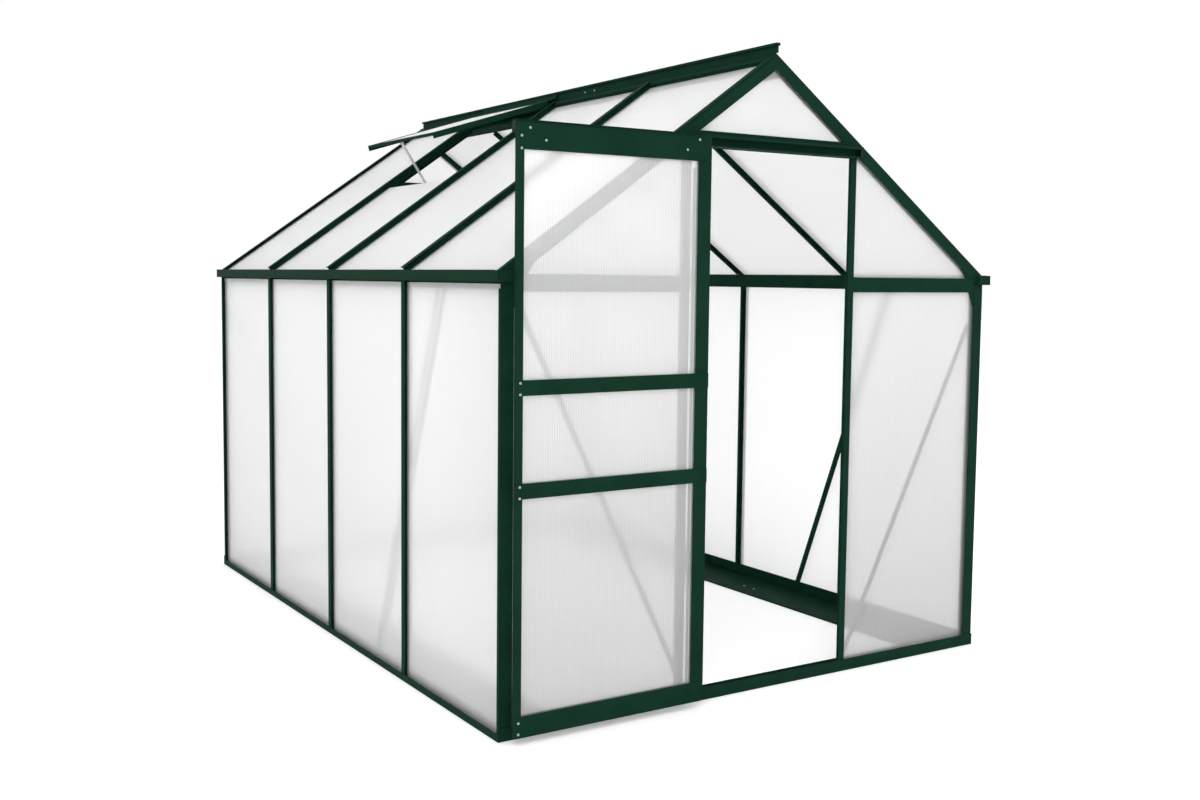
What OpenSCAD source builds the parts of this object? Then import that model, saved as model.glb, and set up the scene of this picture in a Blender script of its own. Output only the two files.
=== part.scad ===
// Lean aluminium greenhouse with a gable roof, clear-white hollow sheets,
// a top-hung sliding door in the front gable and one roof vent held open by its stay.
// The origin lies on the ground at the centre of the plan. The front gable faces -Y.

/* [Building] */
// Width across the outer faces of the side walls
width = 1900; // [1500:10:2600]
// Length across the outer faces of the two gables
length = 2520; // [1900:10:3800]
// Height of the roof's outer plane above the ground where it meets the side wall
eave_height = 1298; // [1150:2:1600]
// Slope of the roof
roof_pitch = 35; // [30:0.5:38]
// Number of bays in a side wall
side_bays = 4; // [3:1:5]
// Clear width of the doorway between its posts
doorway = 634; // [580:2:700]

/* [Extrusions] */
// Thickness of every extruded wall
wall = 2; // [1.5:0.1:2.4]
// Face width of the bars between two sheets
bar_face = 24; // [18:1:30]
// Face width of the two posts beside the doorway
door_post_face = 24; // [20:1:32]
// Face height of the rails across the gables
rail_face = 48; // [36:1:56]
// Face width of the corner posts on the gable side
corner_face = 42; // [34:1:50]
// Face depth of the gable rafters, square to the roof
rafter_face = 41; // [36:1:54]
// Width of the strip along a rafter's outer edge that lies behind its face
rafter_strip = 8; // [6:1:12]
// Height of the roof bars' faces above the rafters and the ridge's wings
bar_rise = 8; // [4:1:10]
// Distance from a bar's outer face to the sheet behind it
sheet_inset = 14; // [10:1:16]
// Overall depth of a bar
bar_depth = 32; // [28:1:36]
// Thickness of the hollow sheets
sheet = 4; // [3.5:0.5:6]

/* [Base rails] */
// Height of the outer lip of a side base rail
side_lip = 22; // [16:1:40]
// Height of the outer lip of a gable base rail
gable_lip = 38; // [30:1:50]
// Height of the inner web of a side base rail
side_web = 47; // [43:1:60]
// Height of the inner web of a gable base rail
gable_web = 30; // [24:1:42]
// Width of a side base rail's flat foot, from the wall's outer face
side_foot = 238; // [120:2:260]
// Width of a gable base rail's flat foot, from the gable's outer face
gable_foot = 100; // [70:2:130]

/* [Gutter and ridge] */
// How far the gutter stands out from the side wall
gutter_reach = 20; // [16:1:26]
// Height of the eave beam and the gutter's back
gutter_back = 32; // [30:1:44]
// Height of the gutter's outer lip
gutter_lip = 33; // [24:1:36]
// How far the inner web of the eave beam hangs below the gutter floor
eave_web = 22; // [8:1:30]
// Width of a ridge wing along the slope
ridge_wing = 36; // [36:1:56]
// Width of the ridge's seats for the bars, along the slope
ridge_seat = 66; // [56:1:80]
// Height of the ridge fin above the crest of the roof planes
ridge_fin = 30; // [28:1:40]
// How far the ridge fin runs past the front gable
ridge_overhang = 5; // [0:1:20]
// How far the ridge fin stops short of the rear gable's face
ridge_setback = 36; // [0:1:60]
// How far a roof bar's raised face laps over the ridge's wing
wing_lap = 10; // [4:1:16]

/* [Gable rails and track] */
// How far the lower edge of the eave rail lies below the eaves
eave_rail_drop = 58; // [50:1:120]
// How far the lower edges of the crossbar and the door track lie below the crest
track_drop = 298; // [270:1:340]
// Height of the door track
track_face = 34; // [30:1:44]
// Depth of the door track in front of the gable
track_depth = 24; // [20:1:28]
// Distance from the open leaf's outer edge to the end of the track above it
track_lead = 10; // [2:1:20]
// How far the track runs on past the doorway
track_tail = 30; // [20:1:50]

/* [Sliding door] */
// How much wider the leaf is than the doorway
leaf_overlap = 9; // [4:1:30]
// How far the open leaf still stands in front of the doorway
leaf_lap = 32; // [20:1:40]
// Overall thickness of the leaf
leaf_depth = 20; // [16:1:24]
// Gap between the gable face and the back of the leaf
leaf_gap = 36; // [32:1:44]
// Height of the leaf's lower edge above the ground
leaf_foot = 22; // [12:1:30]
// Face width of the left stile
left_stile = 17; // [16:1:34]
// Face width of the right stile with its grip flange
right_stile = 46; // [38:1:54]
// Height of the plate along the top of the leaf
header_face = 70; // [60:1:90]
// How far the track shows above the leaf
track_show = 12; // [6:1:14]
// Width of the right stile that shows beside the header
stile_show = 22; // [16:1:30]
// Face height of the two middle rails
middle_rail_face = 42; // [30:1:50]
// Height of the lower edge of the upper middle rail above the ground
upper_rail_height = 962; // [900:2:1100]
// Height of the lower edge of the lower middle rail above the ground
lower_rail_height = 682; // [500:2:800]
// Face height of the bottom rail of the leaf
bottom_rail_face = 60; // [46:1:70]
// Width of the right stile that shows beside the bottom rail
bottom_rail_show = 8; // [0:1:16]
// Radius of a door roller
roller_radius = 10.5; // [8:0.5:12]

/* [Roof vent] */
// Bay of the left roof slope that holds the vent, counted from the front
vent_bay = 3; // [2:1:3]
// Length of the sash from its hinge bead to its free edge
vent_length = 565; // [420:5:640]
// Angle by which the sash stands open
vent_angle = 17.6; // [6:0.2:24]
// Depth of the sash's side rails
vent_depth = 22; // [12:1:22]
// Depth of the rail along the sash's free edge
vent_edge_depth = 11; // [9:1:16]
// Face width of the sash rails
vent_rail = 20; // [14:1:28]
// Length of the casement stay
stay_length = 300; // [240:10:340]
// Angle at which the stay hangs, below level
stay_angle = 56; // [40:1:80]
// Width of the casement stay
stay_width = 18; // [12:1:20]

/* [Braces and gussets] */
// Width of the flat wind braces
brace_width = 25; // [16:1:30]
// Thickness of braces and gusset plates
plate = 2; // [1.5:0.5:3]
// Distance from the corner to the upper ends of the short gable braces
short_head = 30; // [26:1:60]
// How far the upper ends of the short gable braces lie below the eave rail
short_drop = 113; // [60:1:200]
// Distance from the doorway to the lower ends of the short gable braces
short_foot = 43; // [30:1:110]
// Distance from the corner to the upper end of the long gable brace
long_head = 45; // [36:1:70]
// How far the lower end of the long gable brace reaches past the doorway's edge
long_foot = 27; // [10:1:30]
// Distance from the second wall bar to the upper end of a wall brace
wall_head = 232; // [150:1:280]
// Distance from the second wall bar to the lower end of a wall brace
wall_foot = 240; // [150:1:280]
// Width of a gusset along the gable
gusset_width = 88; // [70:1:110]
// How far a gusset reaches down the corner post below the eave rail
gusset_tail = 90; // [60:1:120]

/* [Hidden] */

$fn = 32;
frame_green = "#1b3d2d";
sheet_white = [0.93, 0.95, 0.94, 0.55];
bare_metal = "#b9bcbe";
nylon = "#22262a";

// Fits and clearances
lip_gap = 0.5;                            // between a base rail's lip and the posts behind it
joint_gap = 0.2;                          // between members that meet
sheet_gap = 2;                            // between a sheet's edge and the web beside it
eave_gap = 5;                             // between a wall sheet's top and the eave beam
web_gap = wall / 2 + sheet_gap;           // from the middle of a web to the sheet's edge

// Plan and heights
half = width / 2;
bay = length / side_bays;
side_bay = (width - doorway) / 2;         // width of a gable bay beside the doorway
door_post_centre = side_bay - door_post_face / 2;
seat = sheet_inset + sheet;               // depth at which the sheets bear on a bar
base_floor = wall;                        // height on which posts, bars and sheets stand
lip_face = -wall - lip_gap;               // outer face of the base rails
front = -(length - lip_face - leaf_gap - leaf_depth) / 2;
rear = front + length;
slope_length = half / cos(roof_pitch);
crest = eave_height + half * tan(roof_pitch);
eave_rail_height = eave_height - eave_rail_drop;
track_height = crest - track_drop;
rail_web = eave_rail_height + rail_face / 2;
track_web = track_height + rail_face / 2;

// Posts and bars
bearing_extra = 6;                        // by which an inner seat is wider than the bar's face
post_depth = seat + 2 * wall;             // depth of the posts beside the doorway
corner_return = 12;                       // width of a corner post's narrow side face
foot_edge = 6;                            // height of the turned-up edge of a base rail's foot

// Eaves
gutter_floor = eave_height - gutter_back;
gutter_top = eave_height - 2 * wall;
beam_width = bar_depth + wall;            // plan width of the eave beam
behind_rafter = seat + wall + 1;          // depth at which beams start behind a rafter

// Roof
rafter_step = 4;                          // by which a rafter's outer strip lies behind its face
rafter_seat = seat + 4 * wall;            // depth to which a rafter carries the roof sheet
rafter_cut = rafter_face + joint_gap;     // depth at which gable members end under the rafters
wing_foot = slope_length - ridge_wing - wall;     // outer face of the lip along a ridge wing
bar_stop = 27;                            // from the crest down to the end of a roof bar
sheet_stop = 24;                          // from the crest down to the edge of a roof sheet
bar_end = slope_length - bar_stop;
roof_sheet_end = slope_length - sheet_stop;
fin = 3;                                  // thickness of the ridge fin
cap_width = 16;                           // width of the bead along the fin's top
cap_lip = 8;                              // height of the bead's down-turned lips

// Gussets
gusset_left = seat + wall + joint_gap;    // side of a gusset beside the corner post's web
gusset_right = gusset_left + gusset_width;
gusset_play = 4;                          // between a gusset and the web of a rail

// Door and track
leaf_width = doorway + leaf_overlap;
leaf_start = side_bay + leaf_lap - leaf_width;    // from the left corner to the open leaf
leaf_inset = 8;                           // from the leaf's face to its sheet
leaf_top = track_height + track_face - track_show;
stile_flange = 7;                         // width of the flange that holds the sheet
header_foot = leaf_top - header_face;
header_web = 14;                          // from the header's lower edge to its web
track_start = leaf_start + track_lead;
track_end = side_bay + doorway + track_tail;
track_lip = 8;                            // height of the lip along the front of the track's top
track_foot_gap = 4;                       // by which the track's ledge is narrower than its top
stop_length = 9;
roller_width = 8;
roller_play = 4;                          // between a roller and the lip in front of it
roller_left = 35;                         // from the leaf's left edge to the left roller
roller_inset = 46;                        // from the leaf's right edge to the right roller
roller_right = leaf_width - roller_inset;
roller_height = track_height + wall + joint_gap + roller_radius;
pin_radius = 3;

// Roof vent
bead = 2;                                 // radius of the sash's hinge bead
bead_play = 0.25;                         // between the bead and the ridge fin
bead_side = fin / 2 + bead + bead_play;   // from the ridge's middle to the bead
bead_height = crest + ridge_fin - wall - bead - 2 * bead_play;
bead_run = (half - bead_side) * cos(roof_pitch) + (bead_height - eave_height) * sin(roof_pitch);
bead_drop = (bead_height - crest) * cos(roof_pitch) + bead_side * sin(roof_pitch);
vent_rise = 5.6;                          // height of the closed sash above the roof plane
skin = bead_drop - vent_rise;             // from the bead down to the sash's upper face
vent_play = bar_face / 2 + 3;             // from a bar's middle to the sash's side
vent_width = bay - 2 * vent_play;
vent_lap = 10;                            // by which the closed sash covers the sheet below
vent_seat = 12;                           // width of the lip under the sash's sheet
vent_front = (vent_bay - 1) * bay;        // from the front gable to the vent's first bar
vent_foot = bead_run - vent_length;       // lower end of the closed sash, up the slope
rails_start = bead_run - wing_foot + wall;        // where the sash's side rails start
stay_plate = 3;
knuckle = 4;                              // radius of the stay's knuckle
hole_pitch = 50;
peg_hole = 4;                             // radius of the stay's holes

// ---------------------------------------------------------------- shared shapes

// Section of a glazing bar, drawn across x with its outer face on y = 0.
module bar_section(face, extra = 0, inset = sheet_inset, depth = bar_depth, tip = 12) {
    bearing = face + extra;
    translate([-face / 2, 0]) square([face, wall]);
    translate([-wall / 2, 0]) square([wall, depth]);
    translate([-bearing / 2, inset + sheet]) square([bearing, wall]);
    translate([-tip / 2, depth - wall]) square([tip, wall]);
}

// Upright member standing on the base rails.
module upright(top, foot = base_floor)
    translate([0, 0, foot]) linear_extrude(top - foot) children();

// Member lying along +X, its section drawn with x up and y as depth.
module along_x(from, to)
    translate([from, 0, 0]) rotate([90, 0, 90]) linear_extrude(to - from)
        mirror([1, -1]) children();

// Member lying along +Y, its section drawn with x across and y up.
module along_y(from, to)
    translate([0, to, 0]) rotate([90, 0, 0]) linear_extrude(to - from) children();

// The left wall's own frame: x is depth from its outer face, y runs to the rear.
module left_wall() translate([-half, front, 0]) children();
module right_wall() mirror([1, 0, 0]) left_wall() children();

// The front gable's own frame: x from the left corner, y is depth from its outer face.
module front_gable() translate([-half, front, 0]) children();
module rear_gable() translate([half, rear, 0]) rotate(180) children();

// Right-hand half of a gable, mirrored from its left-hand half.
module far_half() translate([width, 0, 0]) mirror([1, 0, 0]) children();

// The left slope's own frame: x runs up the slope, z = 0 is the roof's outer plane.
module left_slope() translate([-half, front, eave_height]) rotate([0, -roof_pitch, 0]) children();
module right_slope() mirror([1, 0, 0]) left_slope() children();

// Everything in a gable's frame that lies above planes parallel to the roof.
module above_roof(drop, from = -1, to = beam_width + 1) {
    low = eave_height - drop / cos(roof_pitch);
    translate([0, to, 0]) rotate([90, 0, 0]) linear_extrude(to - from)
        polygon([
            [-half, low - half * tan(roof_pitch)], [half, low + half * tan(roof_pitch)],
            [width + half, low - half * tan(roof_pitch)], [width + half, crest + half],
            [-half, crest + half]
        ]);
}

// ---------------------------------------------------------------- base rails

module base_section(lip, web, foot) {
    translate([lip_face, 0]) square([wall, lip]);
    translate([lip_face, 0]) square([foot - lip_face, wall]);
    translate([bar_depth, 0]) square([wall, web]);
    translate([foot - wall, 0]) square([wall, foot_edge]);
}

// One rail along Y, its ends cut to meet rails whose feet are other_foot wide: at 45
// degrees as far as the webs, and on to the inner corner of the feet.
module base_rail(span, lip, web, foot, other_foot)
    intersection() {
        along_y(lip_face, span - lip_face) base_section(lip, web, foot);
        linear_extrude(lip + web) polygon([
            [beam_width, beam_width + joint_gap],
            [lip_face, lip_face + joint_gap], [lip_face, span - lip_face - joint_gap],
            [beam_width, span - beam_width - joint_gap],
            [foot, span - other_foot - joint_gap], [foot, other_foot + joint_gap]
        ]);
    }

module side_sill() color(frame_green)
    base_rail(length, side_lip, side_web, side_foot, gable_foot);
module gable_sill() color(frame_green)
    mirror([1, -1, 0]) base_rail(width, gable_lip, gable_web, gable_foot, side_foot);

// ---------------------------------------------------------------- walls

// Corner post in the gable's frame: the gable face is broad, the side face narrow.
module corner_section() {
    square([corner_face, wall]);
    square([wall, corner_return]);
    translate([seat, 0]) square([wall, beam_width]);
    translate([seat, seat]) square([corner_face - seat, wall]);
    translate([seat, beam_width - wall]) square([bar_depth - seat - wall, wall]);
}

module corner_post() color(frame_green)
    difference() {
        upright(gutter_floor) corner_section();
        above_roof(rafter_cut, to = behind_rafter - wall / 4);
    }

module wall_bars() color(frame_green)
    for (k = [1 : side_bays - 1])
        translate([0, k * bay, 0]) upright(gutter_floor)
            mirror([1, -1]) bar_section(bar_face, bearing_extra);

module wall_sheets() color(sheet_white)
    for (k = [0 : side_bays - 1]) {
        start = (k == 0) ? wall + sheet_gap : k * bay + wall / 2 + sheet_gap;
        end = (k == side_bays - 1) ? length - wall - sheet_gap : (k + 1) * bay - wall / 2 - sheet_gap;
        translate([sheet_inset, start, base_floor])
            cube([sheet, end - start, gutter_floor - base_floor - eave_gap]);
    }

// ---------------------------------------------------------------- eaves

// Height of a plane parallel to the left slope, at a distance in from the wall's face.
function roof_height(x, drop) = eave_height + x * tan(roof_pitch) - drop / cos(roof_pitch);

// Section of a plate parallel to the left slope, between two distances from the wall's face.
module sloped_plate(from, to, drop)
    polygon([
        [from, roof_height(from, drop)], [to, roof_height(to, drop)],
        [to, roof_height(to, drop + wall)], [from, roof_height(from, drop + wall)]
    ]);

module trough_section() {
    translate([-gutter_reach, gutter_floor]) square([wall, gutter_lip]);
    translate([-gutter_reach, gutter_floor]) square([gutter_reach, wall]);
    translate([-wall, gutter_floor]) square([wall, gutter_top - gutter_floor]);
    intersection() {
        translate([-gutter_reach, gutter_top]) difference() {
            circle(gutter_reach);
            circle(gutter_reach - wall);
        }
        translate([-gutter_reach, gutter_floor]) square([gutter_reach, gutter_top - gutter_floor]);
    }
}

module beam_section() {
    web_top = roof_height(beam_width, seat + wall + wall / 2);
    translate([-wall, gutter_floor]) square([beam_width + wall, wall]);
    translate([bar_depth, gutter_floor - eave_web])
        square([wall, web_top - gutter_floor + eave_web]);
    sloped_plate(-wall / 2, beam_width, seat + wall + joint_gap);
}

module gutter() color(frame_green) {
    along_y(0, length) trough_section();
    along_y(behind_rafter, length - behind_rafter) beam_section();
}

// ---------------------------------------------------------------- roof

// Section of a gable rafter: x is depth from the gable's face, y is depth below the roof.
module rafter_section() {
    translate([0, rafter_strip]) square([wall, rafter_face - rafter_strip]);
    translate([0, rafter_strip]) square([rafter_step + wall, wall]);
    translate([rafter_step, 0]) square([wall, rafter_strip + wall]);
    translate([rafter_step, 0]) square([seat + 2 * wall - rafter_step, wall]);
    translate([0, seat]) square([rafter_seat, wall]);
    translate([seat, seat]) square([wall, rafter_face - seat]);
}

// Member lying up the slope, its section drawn with x along the roof and y as depth below it.
module along_slope(from, to)
    translate([from, 0, 0]) rotate([0, 90, 0]) linear_extrude(to - from)
        mirror([1, -1]) children();

// Left-hand rafter of a gable, in the slope's frame, cut upright at both ends.
module rafter() color(frame_green)
    difference() {
        along_slope(-rafter_face, slope_length + rafter_face) rafter_section();
        rotate([0, roof_pitch, 0]) {
            translate([-half, -wall, -half])
                cube([half + lip_gap, 2 * bar_depth, width]);
            translate([half - joint_gap, -wall, -half])
                cube([half, 2 * bar_depth, 2 * width]);
        }
        rotate([0, roof_pitch, 0]) translate([-half, rafter_step + wall, -half])
            cube([half + beam_width, bar_depth, half - gutter_back]);
        translate([wing_foot - joint_gap, rafter_step + wall, -wall - joint_gap])
            cube([2 * ridge_wing, bar_depth, 2 * wall]);
    }

// One roof bar, notched over the eave beam and for the ridge's seat and lipped wing. Its
// raised face laps over the wing.
module roof_bar() {
    lower = (beam_width + wall) / cos(roof_pitch);
    upper = slope_length - ridge_seat - (seat + 3 * wall) * tan(roof_pitch);
    below_seat = bar_depth - seat - wall + 1;
    difference() {
        translate([0, 0, bar_rise]) along_slope(2 * wall, bar_end)
            bar_section(bar_face, bearing_extra, sheet_inset + bar_rise, bar_depth + bar_rise);
        for (from = [lower - half, upper])
            translate([from, -bar_face, -bar_depth - 1])
                cube([half, 2 * bar_face, below_seat]);
        translate([wing_foot - joint_gap, -bar_face, -sheet_inset])
            cube([half, 2 * bar_face, sheet_inset + joint_gap]);
        translate([wing_foot + wing_lap, -bar_face, 0]) cube([half, 2 * bar_face, 2 * bar_rise]);
    }
}

module roof_bars() color(frame_green)
    for (k = [1 : side_bays - 1]) translate([0, k * bay, 0]) roof_bar();

// Sheets of one slope; the bay numbered short_bay is left open above the vent's foot.
module roof_sheets(short_bay = 0) color(sheet_white)
    for (k = [0 : side_bays - 1]) {
        start = (k == 0) ? wall + sheet_gap : k * bay + wall / 2 + sheet_gap;
        end = (k == side_bays - 1) ? length - wall - sheet_gap : (k + 1) * bay - wall / 2 - sheet_gap;
        top = (k + 1 == short_bay) ? vent_foot + vent_lap : roof_sheet_end;
        translate([-bearing_extra, start, -seat])
            cube([top + bearing_extra, end - start, sheet]);
    }

// Upper part of the ridge: a fin with a bead whose lips hang down on both sides.
module crown_section() {
    top = crest + ridge_fin;
    translate([-fin / 2, crest]) square([fin, ridge_fin]);
    translate([-cap_width / 2, top - wall]) square([cap_width, wall]);
    for (side = [0, 1]) mirror([side, 0])
        translate([cap_width / 2 - wall, top - cap_lip]) square([wall, cap_lip]);
}

// The two plates of the ridge at one depth, and the part of the fin that joins them.
module ridge_plates(reach, drop, lip = 0) {
    foot = roof_height(half, drop + wall);
    translate([-fin / 2, foot]) square([fin, crest - foot + wall]);
    for (side = [0, 1]) mirror([side, 0]) translate([-half, 0]) {
        sloped_plate(half - reach * cos(roof_pitch), half, drop);
        if (lip > 0) translate([0, eave_height]) rotate(roof_pitch)
            translate([slope_length - reach - wall, -drop - lip]) square([wall, lip]);
    }
}

module ridge() color(frame_green) {
    behind_face = rafter_step + wall + joint_gap;
    along_y(front - ridge_overhang, rear - ridge_setback) crown_section();
    along_y(front + behind_face, rear - behind_face)
        ridge_plates(ridge_wing, 0, sheet_inset - joint_gap);
    along_y(front + rafter_seat + joint_gap, rear - rafter_seat - joint_gap)
        ridge_plates(ridge_seat, seat + wall + joint_gap);
}

// ---------------------------------------------------------------- gables

// Section of a post beside the doorway: it holds a sheet on its left side only.
module door_post_section() {
    translate([-door_post_face / 2, 0]) square([door_post_face, wall]);
    translate([-wall / 2, 0]) square([wall, post_depth]);
    translate([-door_post_face / 2, seat]) square([door_post_face / 2, wall]);
}

// Post under the crossbar, cut to the rafters' underside where it would reach them.
module gable_post() color(frame_green)
    difference() {
        translate([door_post_centre, 0, 0]) upright(track_height) children();
        above_roof(rafter_cut);
    }

module door_post() gable_post() door_post_section();
module rear_gable_post() gable_post() bar_section(door_post_face);

// Rail across part of a gable, at a height, cut to the rafters' underside. Its web may
// start and end short of its face, to clear the gussets.
module gable_rail(from, to, foot, web_from, web_to) color(frame_green)
    difference() {
        translate([0, 0, foot + rail_face / 2]) {
            along_x(from, to) translate([-rail_face / 2, 0]) square([rail_face, wall]);
            along_x(web_from, web_to) bar_section(rail_face);
        }
        above_roof(rafter_cut);
    }

module side_eave_rail() {
    inner = side_bay - door_post_face;
    gable_rail(corner_face, inner, eave_rail_height, gusset_right + gusset_play, inner);
}

module middle_eave_rail()
    gable_rail(side_bay, width - side_bay, eave_rail_height, side_bay, width - side_bay);

module crossbar()
    gable_rail(bar_face, width - bar_face, track_height, bar_face, width - bar_face);

// One flat sheet of a gable, between two sides and two heights, cut to the roof.
module gable_sheet(from, to, low, high) color(sheet_white)
    difference() {
        translate([from, sheet_inset, low]) cube([to - from, sheet, high - low]);
        above_roof(seat + wall + sheet_gap);
    }

module side_gable_sheets() {
    inner = seat + wall + sheet_gap;
    outer = door_post_centre - web_gap;
    gable_sheet(inner, outer, base_floor, rail_web - web_gap);
    gable_sheet(inner, outer, rail_web + web_gap, track_web - web_gap);
}

module apex_sheet()
    gable_sheet(bar_face, width - bar_face, track_web + web_gap, crest);

module middle_gable_sheets() {
    side = door_post_centre + web_gap;
    gable_sheet(side, width - side, base_floor, rail_web - web_gap);
    gable_sheet(side, width - side, rail_web + web_gap, track_web - web_gap);
}

// Plate behind the faces of corner post, eave rail and rafter where they meet: its sloped
// side lies under the rafter's seat.
module gusset() color(frame_green) {
    waist = gusset_left + gusset_width / 2;
    rail_top = eave_rail_height + rail_face;
    translate([0, wall + plate, 0]) rotate([90, 0, 0]) linear_extrude(plate)
        polygon([
            [gusset_left, eave_rail_height - gusset_tail], [waist, eave_rail_height],
            [waist + gusset_width / 4, rail_top],
            [gusset_right, roof_height(gusset_right, rafter_face)],
            [gusset_right, roof_height(gusset_right, gusset_left)],
            [gusset_left, roof_height(gusset_left, gusset_left)]
        ]);
}

module flat_brace(from, to) {
    run = to - from;
    rotate([90, 0, 0]) linear_extrude(plate)
        translate(from) rotate(atan2(run.y, run.x)) translate([0, -brace_width / 2])
            square([norm(run), brace_width]);
}

module gable_brace(from, to) color(frame_green)
    translate([0, beam_width + plate, 0]) flat_brace(from, to);

module long_gable_brace()
    gable_brace([long_head, rail_web - wall], [side_bay + long_foot, gable_web]);
module short_gable_brace()
    gable_brace([short_head, eave_rail_height - short_drop], [side_bay - short_foot, gable_web]);

module wall_brace() color(frame_green)
    translate([beam_width, 0, 0]) rotate(90)
        flat_brace([bay - wall_head, gutter_floor - eave_web / 4], [bay + wall_foot, side_web / 2]);

// ---------------------------------------------------------------- roof vent

// The sash's own frame: x runs from the hinge bead down the sash, z is square to it.
module sash()
    translate([-bead_side, front + vent_front + vent_play, bead_height])
        rotate([0, -roof_pitch + vent_angle, 0]) mirror([1, 0, 0]) children();

// Section of a sash rail: x is inward from its edge, y is down from its face.
module sash_rail_section(depth) {
    square([vent_rail, wall]);
    square([wall, depth]);
    translate([0, wall + sheet]) square([vent_seat, wall]);
}

module vent_frame() color(frame_green)
    sash() {
        rotate([-90, 0, 0]) linear_extrude(vent_width) circle(bead);
        rotate([-90, 0, 0]) linear_extrude(vent_width) {
            rotate(90 - roof_pitch) translate([0, -wall / 2]) square([skin / cos(roof_pitch), wall]);
            translate([skin * tan(roof_pitch), skin]) square([rails_start, wall]);
            translate([rails_start, skin + wall + sheet]) square([vent_seat, wall]);
            translate([rails_start, skin]) square([wall, wall + sheet + wall]);
        }
        for (side = [0, 1]) translate([rails_start, side * vent_width, -skin])
            mirror([0, side, 0]) rotate([90, 0, 90]) linear_extrude(vent_length - rails_start)
                mirror([0, 1]) sash_rail_section(vent_depth);
        translate([vent_length, 0, -skin]) rotate([-90, 0, 0]) linear_extrude(vent_width)
            mirror([1, 0]) sash_rail_section(vent_edge_depth);
    }

module vent_sheet() color(sheet_white)
    sash() translate([rails_start + wall + 1, wall + 1, -skin - wall - sheet])
        cube([vent_length - rails_start - 2 * (wall + 1), vent_width - 2 * (wall + 1), sheet]);

// Pierced stay that hangs from a knuckle under the middle of the sash's free edge.
module vent_stay() color(bare_metal) {
    tilt = roof_pitch - vent_angle;
    eye = vent_length - vent_rail / 2;
    drop = skin + vent_edge_depth + knuckle;
    middle = front + vent_front + bay / 2;
    translate([-bead_side - eye * cos(tilt) + drop * sin(tilt), middle,
        bead_height - eye * sin(tilt) - drop * cos(tilt)])
        rotate([0, stay_angle, 0]) {
            translate([0, stay_width / 2, 0]) rotate([90, 0, 0]) cylinder(stay_width, r = knuckle);
            translate([0, 0, -stay_plate / 2]) linear_extrude(stay_plate) difference() {
                union() {
                    translate([0, -stay_width / 2]) square([stay_length - stay_width / 2, stay_width]);
                    translate([stay_length - stay_width / 2, 0]) circle(stay_width / 2);
                }
                for (x = [hole_pitch : hole_pitch : stay_length - hole_pitch / 2])
                    translate([x, 0]) circle(peg_hole);
            }
        }
}

// ---------------------------------------------------------------- door

module door_frame() front_gable() translate([leaf_start, -leaf_gap - leaf_depth, 0]) children();

// Section of a leaf stile, from its outer edge: a hollow box, then a flange and a sheet seat.
module stile_section(face, front_face) {
    box = face - stile_flange;
    translate([0, front_face]) difference() {
        square([box, leaf_depth - front_face]);
        translate([wall, wall]) square([box - 2 * wall, leaf_depth - front_face - 2 * wall]);
    }
    translate([box - wall, front_face]) square([stile_flange + wall, wall]);
    translate([box - wall, leaf_inset + sheet]) square([stile_flange + wall, wall]);
}

module door_left_stile() color(frame_green)
    door_frame() upright(leaf_top, leaf_foot) stile_section(left_stile, 0);

// The right stile stands back by the thickness of the plates that lap over it.
module door_right_stile() color(frame_green)
    door_frame() translate([leaf_width, 0, 0]) mirror([1, 0, 0]) difference() {
        upright(leaf_top, leaf_foot) stile_section(right_stile, wall);
        translate([stile_show - joint_gap, -wall, header_foot - joint_gap])
            cube([right_stile, 2 * leaf_depth, header_face + wall]);
    }

// Rail between the stiles, its face lapping over the right stile up to a given place.
module leaf_rail(foot, face, reach) color(frame_green)
    door_frame() translate([0, 0, foot + face / 2]) {
        along_x(left_stile, reach) translate([-face / 2, 0]) square([face, wall]);
        along_x(left_stile, leaf_width - right_stile)
            bar_section(face, 0, leaf_inset, leaf_depth);
    }

module door_header() color(frame_green)
    door_frame() translate([0, 0, header_foot]) along_x(left_stile, leaf_width - stile_show) {
        square([header_face, wall]);
        translate([header_web, 0]) square([wall, leaf_depth]);
        translate([0, leaf_inset + sheet]) square([header_web, wall]);
    }

module door_middle_rails()
    for (foot = [lower_rail_height, upper_rail_height])
        leaf_rail(foot, middle_rail_face, leaf_width);

module door_bottom_rail() leaf_rail(leaf_foot, bottom_rail_face, leaf_width - bottom_rail_show);

module door_sheets() color(sheet_white)
    door_frame() {
        left = left_stile - stile_flange + sheet_gap;
        right = leaf_width - right_stile + stile_flange - sheet_gap;
        lows = [
            leaf_foot + bottom_rail_face / 2, lower_rail_height + middle_rail_face / 2,
            upper_rail_height + middle_rail_face / 2
        ];
        highs = [lows[1] - web_gap, lows[2] - web_gap, header_foot + header_web - sheet_gap];
        for (k = [0 : 2]) translate([left, leaf_inset, lows[k] + web_gap])
            cube([right - left, sheet, highs[k] - lows[k] - web_gap]);
    }

// Rollers that run on the track's ledge, and the pins that carry the leaf on them.
module door_rollers() {
    behind = leaf_depth + leaf_gap;
    start = behind - track_depth + track_foot_gap + wall + roller_play;
    door_frame() for (x = [roller_left, roller_right]) translate([x, 0, roller_height])
        rotate([-90, 0, 0]) {
            color(nylon) translate([0, 0, start]) cylinder(roller_width, r = roller_radius);
            color(bare_metal) translate([0, 0, wall])
                cylinder(start - wall + roller_width / 4, r = pin_radius);
        }
}

// Track: a back plate, a top with a down-turned lip, and a ledge with a low upstand.
module track_section() {
    ledge = track_depth - track_foot_gap;
    translate([0, -wall]) square([track_face, wall]);
    translate([track_face - wall, -track_depth]) square([wall, track_depth]);
    translate([track_face - track_lip, -track_depth]) square([track_lip, wall]);
    translate([0, -ledge]) square([wall, ledge]);
    translate([0, -ledge]) square([2 * wall, wall]);
}

module door_track() color(frame_green)
    front_gable() translate([0, 0, track_height])
        along_x(track_start, track_end) track_section();

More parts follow.
